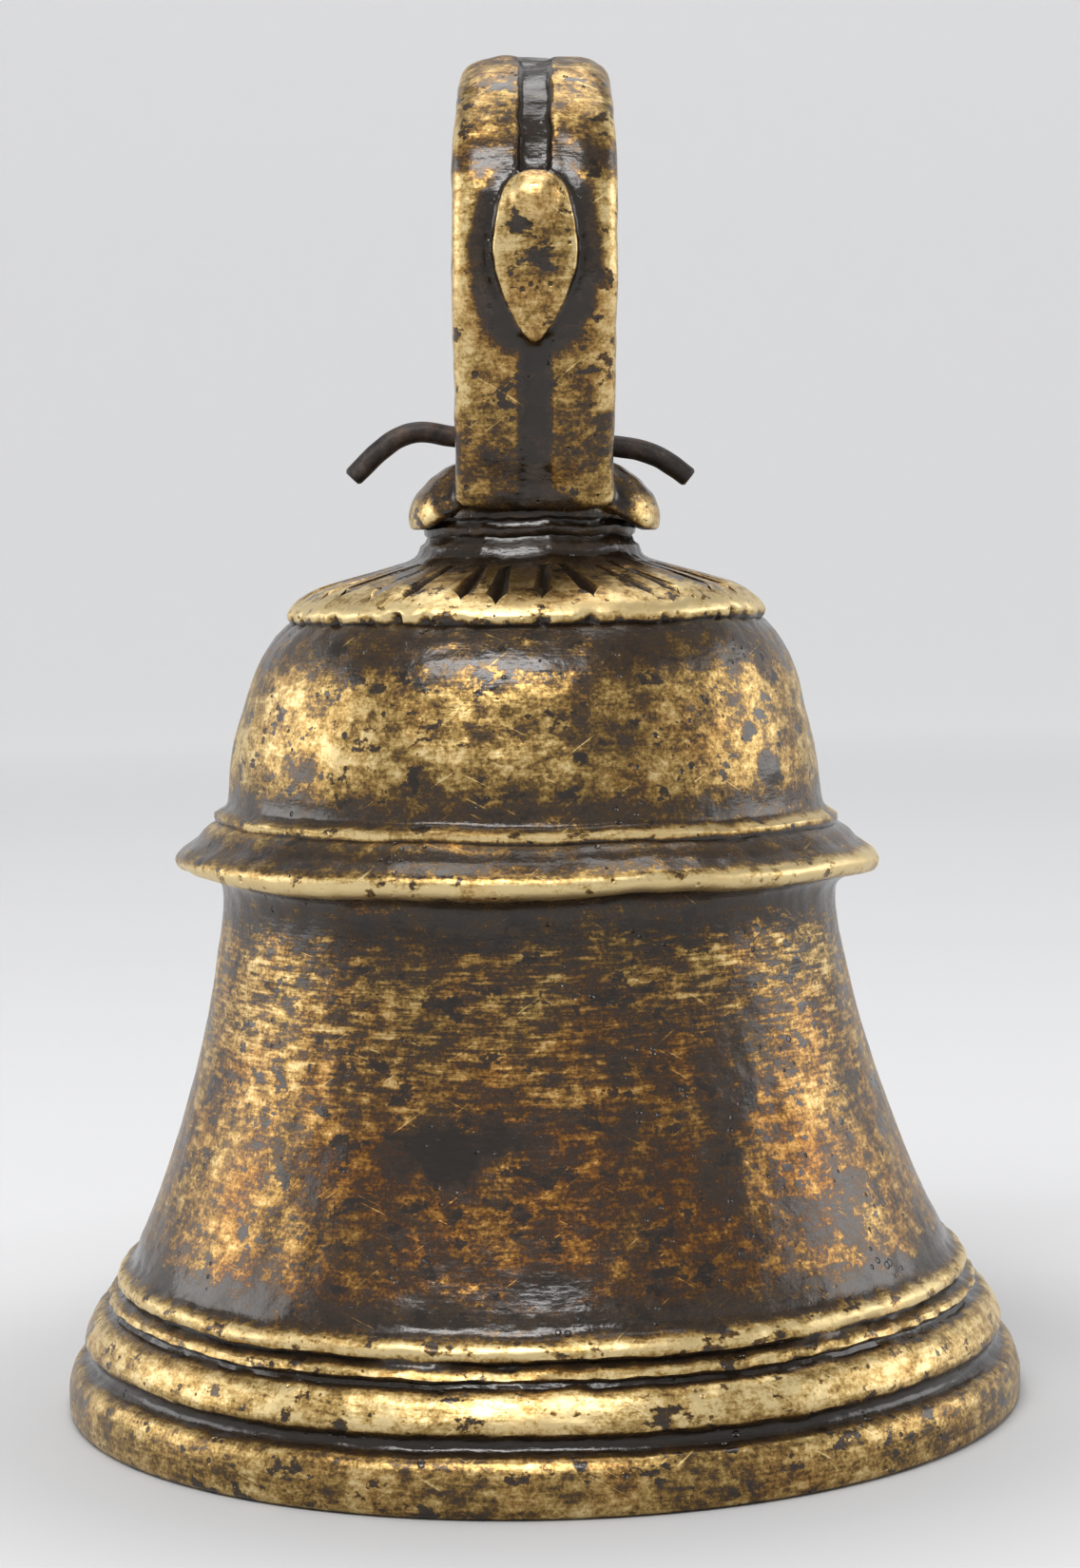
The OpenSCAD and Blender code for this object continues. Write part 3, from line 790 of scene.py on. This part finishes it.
def buildFoot():
    # saddle on the neck: thick in the middle, its brim droops into a lobe on each side
    seat = loop["seat"]
    line = np.array([[0.01, 88.6], [3.6, 88.6], [6.2, 88.3], [8.4, 87.5], [10.1, 86.3],
                     [11.2, 84.9], [11.8, 83.2], [11.8, 82.0], [11.5, 81.4], [11.0, 81.5],
                     [10.6, 82.4], [10.2, 83.3], [9.9, seat], [0.01, seat]])
    obj = lathe("saddle", line, 96)
    co = coordsOf(obj) / mm
    radius = np.hypot(co[:, 0], co[:, 1])
    side = np.abs(co[:, 0]) / np.maximum(radius, 1e-6)      # 1 at the lobes, 0 front and back
    droop = smoothStep(0.55, 0.93, side)
    co[:, 2] += (1 - droop) * np.clip(seat - co[:, 2], 0, 3)
    pull = 1 - (1 - droop) * smoothStep(6, 11.5, radius) * 0.2
    co[:, 0] *= 0.35 + 0.65 * pull
    co[:, 1] *= pull
    setCoords(obj, co * mm)
    return obj


def buildLoop():
    half = (loop["outerR"] - loop["innerR"]) / 2
    obj = sweepStrap("loopStrap", loop["width"] / 2, half, 0, 0.35)
    boolean(obj, buildFoot(), "UNION")
    for side in (1, -1):
        # the strap is dished round the boss, and grooved above and below it
        dish = ellipsoid("dish", (0, -side * 19.8, 105.0), (5.5, 2.9, 8.2))
        boolean(obj, dish, "DIFFERENCE")
    modify(obj, "REMESH", mode="VOXEL", voxel_size=loop["voxel"] * mm)
    modify(obj, "SMOOTH", factor=0.5, iterations=6)
    # narrow the strap slightly towards the top and the foot
    co = coordsOf(obj) / mm
    top = smoothStep(112, 125, co[:, 2])
    onStrap = smoothStep(88, 90, co[:, 2])
    co[:, 0] *= 1 - 0.06 * top * onStrap
    setCoords(obj, co * mm)
    for side in (1, -1):
        edge = [(-1.7, 82), (2.1, 82), (1.75, 85.5), (1.4, 88), (1.25, 90.5), (1.15, 94),
                (1.3, 96.5), (1.7, 98.6), (-1.6, 98.6), (-1.15, 96.5), (-1.0, 94), (-1.3, 90.5),
                (-1.25, 88), (-1.45, 85.5)]
        lower = extrudeOutline("lowerGroove", [(x, -30, z) for x, z in edge], (0, 1, 0), 14.4)
        co = coordsOf(lower) / mm
        # the groove's floor follows the leg, just under its face
        floorY = np.interp(co[:, 2], loop["grooveZ"], loop["grooveY"])
        co[:, 1] = np.where(co[:, 1] > -20, floorY, co[:, 1])
        setCoords(lower, co * mm)
        if side < 0:
            lower.data.transform(Matrix.Rotation(math.pi, 4, "Z"))
            tidyMesh(lower, 0.001)
        boolean(obj, lower, "DIFFERENCE")
    for side in (1, -1):
        boolean(obj, sweepGroove(side), "DIFFERENCE")
    for side in (1, -1):
        boolean(obj, buildBoss(side), "UNION")
    modify(obj, "REMESH", mode="VOXEL", voxel_size=loop["voxel"] * mm)
    modify(obj, "SMOOTH", factor=0.5, iterations=4)
    hole = extrudeOutline("wireHole", [(2.6 * math.cos(t), 2.6 * math.sin(t), 80)
                                       for t in np.linspace(0, math.tau, 33)[:-1]], (0, 0, 1), 10.5)
    boolean(obj, hole, "DIFFERENCE")
    return obj


def sweepGroove(side):
    # an uneven groove from the boss up to the crest, fading out there
    centreZ = loop["top"] - loop["outerR"]
    deselectAll()
    bpy.ops.mesh.primitive_plane_add(size=mm)
    obj = named("upperGroove")
    start = math.radians(14)
    outDir = Vector((0, -math.cos(start), math.sin(start)))
    corners = [(-1.15, -0.45), (1.15, -0.45), (1.45, 3), (-1.45, 3)]
    for vertex, index in zip(obj.data.vertices, (0, 1, 3, 2)):
        across, out = corners[index]
        vertex.co = (Vector((across, 0, centreZ)) + outDir * (loop["outerR"] + out)) * mm
    pick(obj)
    bpy.ops.object.mode_set(mode="EDIT")
    bpy.ops.mesh.select_all(action="SELECT")
    bpy.ops.mesh.spin(steps=24, angle=math.radians(72), center=(0, 0, centreZ * mm),
                      axis=(1, 0, 0), use_auto_merge=False)
    bpy.ops.object.mode_set(mode="OBJECT")
    closeMesh(tidyMesh(obj, 0.001))
    co = coordsOf(obj) / mm
    rise = np.degrees(np.arctan2(co[:, 2] - centreZ, -co[:, 1]))
    lift = 0.7 * smoothStep(68, 86, rise)
    outwards = np.stack([0 * rise, -np.cos(np.radians(rise)), np.sin(np.radians(rise))], 1)
    co += outwards * lift[:, None]
    co[:, 0] *= 1 + 0.35 * smoothStep(60, 84, rise)
    edge = np.sign(co[:, 0])
    co[:, 0] += 0.3 * wobble(co * [0, 1, 1], 3.5, 8)
    co[:, 0] += edge * (0.35 * wobble(co * [0, 1, 1] + [9, 0, 0] * edge[:, None], 2.2, 18) + 0.1)
    setCoords(obj, co * mm)
    if side < 0:
        obj.data.transform(Matrix.Rotation(math.pi, 4, "Z"))
    return obj


hangingLoop = lean(buildLoop())
print("loop built:", len(hangingLoop.data.vertices))


def roughenLoop(obj):
    co = coordsOf(obj) / mm
    normals = np.empty(len(co) * 3)
    obj.data.vertices.foreach_get("normal", normals)
    normals = normals.reshape(-1, 3)
    lumps = 0.16 * wobble(co, 5, 11) + 0.07 * wobble(co, 1.8, 12) - 0.12
    lumps *= smoothStep(84, 86, co[:, 2])
    top = smoothStep(122, 124, co[:, 2])
    co += normals * lumps[:, None]
    co[:, 2] += top * 0.35 * wobble(co, 2.8, 14)
    co[:, 2] = np.minimum(co[:, 2], loop["top"])
    setCoords(obj, co * mm)


roughenLoop(hangingLoop)


def markLoop(obj):
    co = coordsOf(obj) / mm
    x = co[:, 0] - loop["shift"] - np.tan(math.radians(loop["lean"])) * (co[:, 2] - loop["foot"])
    y, height = co[:, 1], co[:, 2]
    front = np.abs(y)
    outwards = smoothStep(10, 15, np.hypot(y, height - 106.7))
    # dark halo round the boss, dark groove, dark foot and dark opening
    halo = np.hypot(x / 5.6, (height - 105.6) / 8.6)
    outline = np.array(loop["bossOutline"])[::-1]
    bossWide = np.interp(height, outline[:, 1], outline[:, 0], left=0, right=0)
    outFromBoss = np.abs(x) - bossWide
    ring = smoothStep(1.15, 0.95, halo) * smoothStep(-0.1, 0.25, outFromBoss) * (front > 14.5)
    grooveLow = smoothStep(1.9, 1.2, np.abs(x)) * smoothStep(99, 97.5, height)
    grooveTop = smoothStep(1.9, 1.1, np.abs(x)) * smoothStep(112.5, 114, height)
    cap = bump(height, 114.2, 1.6) * (front > 12) * 0.5
    grimeAndShade = np.maximum.reduce([0.66 * ring, 0.62 * grooveLow * (front > 8), 0.55 * grooveTop,
                               cap, 0.22 * bump(height, 88, 3.5),
                               0.25 * bump(height, 120.5, 2.5), 0.3 * bump(height, 124.5, 1)])
    grimeAndShade = np.where((outwards < 0.3) & (height > 89), 0.45, grimeAndShade)
    lobe = smoothStep(8.5, 11, np.hypot(co[:, 0], y)) * smoothStep(88, 84, height)
    grimeAndShade = np.maximum(grimeAndShade, 0.8 * smoothStep(86.8, 84.4, height) * (1 - lobe))
    brim = smoothStep(10.9, 11.6, np.hypot(co[:, 0] - loop["shift"], y))
    grimeAndShade = np.maximum(grimeAndShade, 0.6 * lobe * (1 - brim))
    onBoss = smoothStep(0.1, -0.2, outFromBoss) * (front > 15)
    grimeAndShade += 0.3 * onBoss * bump(np.hypot(x - 0.3, (height - 105.3) / 1.3), 0, 1.6)
    polishAndHighlight = 0.12 * onBoss + 0.22 * smoothStep(4.5, 6.5, np.abs(x)) * outwards * (height > 92)
    polishAndHighlight = np.maximum(polishAndHighlight, 0.15 * lobe)
    # the crest is rubbed where it hung, and brightened further as a painted highlight
    crestRubAndHighlight = smoothStep(117, 120, height) * smoothStep(1.6, 2.6, np.abs(x)) * outwards
    polishAndHighlight = np.maximum(polishAndHighlight, 0.2 * crestRubAndHighlight)
    storeFloat(obj, "grimeAndShade", grimeAndShade)
    storeFloat(obj, "polishAndHighlight", polishAndHighlight)
    storeFloat(obj, "streaky", np.full(len(co), 0.2))
    storeFloat(obj, "warm", np.full(len(co), -0.05))
    measureHollow(obj, 22, "hollow", 2.0)


markLoop(hangingLoop)
hangingLoop.data.materials.clear()
hangingLoop.data.materials.append(brassLoop)
pick(hangingLoop)
bpy.ops.object.shade_smooth_by_angle(angle=math.radians(60))
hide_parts("hanging_loop")
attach(hangingLoop, "bell")
print("loop done")


# The hanger wire, the link and the clapper.

clapper = {
    "wireR": 0.97, "linkR": 0.87, "eyeZ": 65.11, "linkTop": 67.01, "linkLow": 57.61,
    "ringR": 2.9, "ringBar": 1.16, "ringZ": 56.81, "shankR": 1.5, "rivetZ": 5.6,
    "eyeTurn": 63.9, "voxel": 0.25, "barStep": 0.22,
    # the wire's two ends from the top of the crown hole outwards, [across, height]
    "leftEnd": [[-1.1, 74], [-1.1, 80], [-1.1, 85], [-1.2, 87], [-2.1, 89], [-4.2, 90.05],
                [-6.9, 90.45], [-9.6, 90.9], [-11.6, 90.45], [-13.3, 89.35], [-14.8, 88],
                [-16.1, 86.7]],
    "rightEnd": [[1.1, 74], [1.1, 80], [1.1, 85], [1.2, 87], [2.1, 88.7], [4.1, 89.4],
                 [6.5, 89.4], [8.8, 89.1], [10.8, 88.75], [12.6, 88.05], [14.1, 87.1],
                 [15.5, 86]],
}


def walk(start, steps, spacing=0.2):
    # a line in the plane: each step is a straight length, a turn in degrees and its radius
    points = [np.array(start, float)]
    heading = 0.0
    for straight, turn, radius in steps:
        length = abs(math.radians(turn)) * radius
        for part, bend in ((straight, 0.0), (length, math.radians(turn))):
            count = max(1, round(part / spacing)) if part else 0
            for _ in range(count):
                heading += bend / count / 2
                move = np.array([math.cos(heading), math.sin(heading)]) * part / count
                points.append(points[-1] + move)
                heading += bend / count / 2
    return np.array(points)


def bendBar(name, line, radius, across, seed, sides=22, taper=0.0):
    # a straight round bar is drawn out, then bent along a line in an upright plane
    lengths = np.concatenate([[0], np.cumsum(np.linalg.norm(np.diff(line, axis=0), axis=1))])
    count = round(lengths[-1] / clapper["barStep"])
    deselectAll()
    bpy.ops.mesh.primitive_circle_add(vertices=sides, radius=mm, fill_type="NGON")
    obj = named(name)
    bpy.ops.object.mode_set(mode="EDIT")
    bpy.ops.mesh.select_all(action="SELECT")
    for _ in range(count):
        bpy.ops.mesh.extrude_region_move(TRANSFORM_OT_translate={"value": (0, 0, mm)})
    bpy.ops.object.mode_set(mode="OBJECT")
    closeMesh(obj)
    co = coordsOf(obj) / mm
    share = co[:, 2] / count
    along = share * lengths[-1]
    centre = np.stack([np.interp(along, lengths, line[:, k]) for k in (0, 1)], 1)
    slopes = np.gradient(line, lengths, axis=0)
    way = np.stack([np.interp(along, lengths, slopes[:, k]) for k in (0, 1)], 1)
    way /= np.linalg.norm(way, axis=1)[:, None]
    # hammered and drawn by hand: a little flat in places, ends nipped and filed
    skin = np.stack([co[:, 0] * radius, co[:, 1] * radius, along], 1)
    size = radius * (1 - 0.05 * (1 + wobble(skin, 1.6, seed)) - 0.03 * (1 + wobble(skin, 4, seed)))
    ends = np.minimum(along, lengths[-1] - along)
    size *= np.interp(ends, [0, 0.12, 0.3], [0.8, 0.95, 1])
    size *= 1 + taper * smoothStep(84, 88, centre[:, 1])
    flat = centre + np.stack([-way[:, 1], way[:, 0]], 1) * (co[:, 0] * size)[:, None]
    out = np.zeros_like(co)
    other = 1 - across
    out[:, across] = flat[:, 0]
    out[:, other] = co[:, 1] * size
    out[:, 2] = flat[:, 1]
    setCoords(obj, out * mm)
    return tidyMesh(obj, 0.002)


def buildWire():
    # one doubled wire: round the eye, up the crown hole, out over the saddle, then bent down
    start = (0.0, clapper["eyeZ"])
    half = walk(start, [(0.9, 90 + clapper["eyeTurn"], 3), (0, -clapper["eyeTurn"], 2)])
    left = catmull(clapper["leftEnd"], lambda h: 0.2)
    right = catmull(clapper["rightEnd"], lambda h: 0.2)
    line = np.vstack([left[::-1], (half * [-1, 1])[::-1], half[1:], right])
    return bendBar("hangerWire", line, clapper["wireR"], 0, 31, taper=0.12)


def buildLink():
    # a long link bent from wire, its two ends butted on one side
    side = (clapper["linkTop"] - clapper["linkLow"]) - 4
    half = 0.9
    steps = [(half, 90, 2), (side, 90, 2), (2 * half, 90, 2), (side, 90, 2), (half - 0.06, 0, 1)]
    line = walk((0.0, clapper["linkLow"]), steps)
    # the joint sits half way up one side
    turnAt = np.argmin(np.hypot(line[:, 0] - line[:, 0].max(),
                                line[:, 1] - (clapper["linkTop"] + clapper["linkLow"]) / 2))
    line = np.vstack([line[turnAt:-1], line[:turnAt]])
    return bendBar("hangerLink", line, clapper["linkR"], 1, 32)


def buildRod():
    # forged shank with an eye on top and a hammered rivet head under the bob
    z = clapper["rivetZ"]
    line = catmull([[0.01, z], [1.4, z + 0.02], [2.2, z + 0.3], [2.5, z + 0.8],
                    [2.4, z + 1.3], [1.5, z + 1.7], [1.46, 20], [1.44, 34], [1.4, 44],
                    [1.45, 50], [1.7, 52.6], [1.2, 54.2], [0.01, 54.4]], lambda h: 0.5)
    rod = lathe("clapperShank", line, 28)
    deselectAll()
    bpy.ops.mesh.primitive_torus_add(
        major_radius=clapper["ringR"] * mm, minor_radius=clapper["ringBar"] * mm,
        major_segments=64, minor_segments=24, location=(0, 0, clapper["ringZ"] * mm),
        rotation=(math.radians(90), 0, 0))
    boolean(rod, applyPlace(named("eye")), "UNION")
    modify(rod, "REMESH", mode="VOXEL", voxel_size=clapper["voxel"] * mm)
    modify(rod, "SMOOTH", factor=0.5, iterations=4)
    co = coordsOf(rod) / mm
    lumps = 0.06 * wobble(co, 2.2, 33) + 0.05 * wobble(co, 6, 34) - 0.05
    co[:, :2] *= 1 + (lumps * smoothStep(8, 10, co[:, 2]) * smoothStep(54, 52, co[:, 2])
                      / np.maximum(np.hypot(co[:, 0], co[:, 1]), 1))[:, None]
    setCoords(rod, co * mm)
    return rod


def buildBob():
    # pear-shaped brass weight, turned with a few lines, worn flat where it strikes
    base = clapper["rivetZ"] + 1.4
    line = catmull([[1.55, base + 0.15], [3.2, base + 0.05], [4.6, base + 0.7], [6.6, base + 2.6],
                    [7.7, base + 5], [8, base + 6.9], [7.75, base + 7.4], [7.95, base + 7.9],
                    [7.9, base + 8.6], [7.6, base + 9], [7.65, base + 9.4], [7.1, base + 11.3],
                    [6.1, base + 13.8], [4.9, base + 16], [3.6, base + 17.3], [3, base + 17.7],
                    [2.9, base + 18], [3.15, base + 18.4], [2.7, base + 18.9],
                    [1.55, base + 18.95], [1.55, base + 0.15]], lambda h: 0.3)
    bob = lathe("clapperBob", line, 120)
    co = coordsOf(bob) / mm
    radius = np.hypot(co[:, 0], co[:, 1])
    lumps = 0.12 * wobble(co, 4, 35) + 0.05 * wobble(co, 1.5, 36) - 0.12
    turn = np.degrees(np.arctan2(co[:, 1], co[:, 0]))
    worn = sum(bump(angleFrom(turn, side), 0, 24) for side in (40, 160, -80))
    lumps -= 0.25 * worn * bump(co[:, 2], base + 6.5, 2.5)
    co[:, :2] *= 1 + (lumps * smoothStep(2, 4, radius) / np.maximum(radius, 1))[:, None]
    setCoords(bob, co * mm)
    storeFloat(bob, "grimeAndShade", 0.1 + 0.3 * bump(co[:, 2], base + 18, 1)
               + 0.3 * bump(co[:, 2], base, 1.5))
    storeFloat(bob, "polishAndHighlight", 0.35 * np.clip(worn, 0, 1) * bump(co[:, 2], base + 6.5, 3))
    storeFloat(bob, "streaky", np.full(len(co), 0.3))
    storeFloat(bob, "warm", np.full(len(co), 0.05))
    measureHollow(bob, 10, "hollow", 2.0)
    return bob


def dress(obj, material, node, body):
    # finish, shading and body of one piece; its CAD part is hidden
    obj.data.materials.clear()
    obj.data.materials.append(material)
    pick(obj)
    bpy.ops.object.shade_smooth_by_angle(angle=math.radians(60))
    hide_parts(node)
    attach(obj, body)


dress(buildWire(), ironWire, "clapper_staple", "hanger")
dress(buildLink(), ironWire, "clapper_link", "link")
dress(buildRod(), ironWire, "clapper_rod", "clapper")
dress(buildBob(), brassBob, "clapper_bob", "clapper")
print("hanger and clapper done")


# Stage, light and camera.

studio = {
    "wallR": 1800, "bendR": 700, "wallTop": 1300,      # a round cove, in millimetres
    "roomLight": 0.4, "roomTint": (0.98, 0.99, 1.0), "paintedFarGlow": 0.2,
    # painted shade of the board by distance from the bell, darker near it, in metres
    "paintedShades": [(0.0, "#adadae"), (0.052, "#b1b1b2"), (0.075, "#c0c0c1"), (0.11, "#c8c8c9"),
               (0.25, "#cdcdce"), (0.6, "#dfdfe0"), (1.1, "#e8e8e9")],
    # name, place, target, width, height, power and spread in degrees of each soft light
    "lights": [("windowFrontLeft", (-0.11, -0.4, 0.6), (0, -0.02, 0.07), 0.56, 0.17, 4.2, 180),
               ("ceiling", (0.02, 0.22, 0.75), (0, 0, 0.1), 0.5, 0.4, 2.3, 180),
               ("wallLeft", (-0.62, 0.1, 0.24), (0, 0, 0.06), 0.5, 0.34, 0.45, 100),
               ("wallRight", (0.62, 0.1, 0.24), (0, 0, 0.06), 0.5, 0.34, 0.45, 100)],
}


def buildStage():
    bend = studio["wallR"] - studio["bendR"]
    line = np.vstack([[[0.1, 0]], bezier([bend, 0], [studio["wallR"], 0],
                                         [studio["wallR"], studio["bendR"]], 16),
                      [[studio["wallR"], studio["wallTop"]]]])
    floor = lathe("studioFloor", line, 96)
    closeMesh(floor)
    pick(floor)
    bpy.ops.object.mode_set(mode="EDIT")
    bpy.ops.mesh.select_mode(type="FACE")
    bpy.ops.mesh.select_all(action="DESELECT")
    bpy.ops.object.mode_set(mode="OBJECT")
    for face in floor.data.polygons:
        face.select = len(face.vertices) > 4 and face.center.z > 1
    bpy.ops.object.mode_set(mode="EDIT")
    bpy.ops.mesh.delete(type="ONLY_FACE")
    bpy.ops.object.mode_set(mode="OBJECT")
    bpy.ops.object.shade_smooth()
    # painted board: painted shade, darker near the bell, and a painted glow far off, so that it
    # looks even under the soft light
    material, tree = newMaterial("paintedPaleBoard")
    local = addNode(tree, "ShaderNodeTexCoord", output="Object")
    reach = addNode(tree, "ShaderNodeVectorMath", {"operation": "LENGTH"}, {0: local},
                    output="Value")
    far = studio["paintedShades"][-1][0]
    share = addNode(tree, "ShaderNodeMapRange", None, {"Value": reach, "From Max": far})
    stops = [(place / far, shade) for place, shade in studio["paintedShades"]]
    colour = addNode(tree, "ShaderNodeValToRGB", None, {"Fac": share}, stops)
    glow = addNode(tree, "ShaderNodeMapRange", None,
                   {"Value": reach, "From Min": 0.35, "From Max": far, "To Max": studio["paintedFarGlow"]})
    surface = addNode(tree, "ShaderNodeBsdfPrincipled", None,
                      {"Base Color": colour, "Roughness": 0.75, "Specular IOR Level": 0.2,
                       "Emission Color": (1, 1, 1, 1), "Emission Strength": glow})
    addNode(tree, "ShaderNodeOutputMaterial", None, {"Surface": surface})
    floor.data.materials.append(material)


def areaLight(name, place, target, wide, tall, power, spread):
    light = bpy.data.lights.new(name, "AREA")
    light.energy = power
    light.shape = "RECTANGLE"
    light.size = wide
    light.size_y = tall
    light.spread = math.radians(spread)
    obj = bpy.data.objects.new(name, light)
    bpy.context.collection.objects.link(obj)
    obj.location = place
    obj.rotation_euler = (Vector(target) - Vector(place)).to_track_quat("-Z", "Y").to_euler()
    obj.visible_camera = False


def buildLights():
    world = bpy.data.worlds.new("softRoom")
    bpy.context.scene.world = world
    world.use_nodes = True
    background = world.node_tree.nodes["Background"]
    background.inputs[0].default_value = (*studio["roomTint"], 1)
    background.inputs[1].default_value = studio["roomLight"]
    for light in studio["lights"]:
        areaLight(*light)


view = {"lens": 77, "sensor": 36, "place": (0, -0.3155, 0.0802), "down": 4.09, "roll": -1.32,
        "shift": 0.0056, "nearest": 0.01}


def buildCamera():
    data = bpy.data.cameras.new("camera")
    obj = bpy.data.objects.new("camera", data)
    bpy.context.collection.objects.link(obj)
    data.lens = view["lens"]
    data.sensor_width = view["sensor"]
    data.clip_start = view["nearest"]
    data.shift_x = view["shift"]
    pitch, roll = math.radians(90 - view["down"]), math.radians(view["roll"])
    obj.matrix_world = (Matrix.Translation(view["place"]) @ Matrix.Rotation(pitch, 4, "X")
                        @ Matrix.Rotation(roll, 4, "Z"))
    bpy.context.scene.camera = obj


buildStage()
buildLights()
buildCamera()
bpy.context.scene.view_settings.view_transform = "Standard"
print("stage ready")
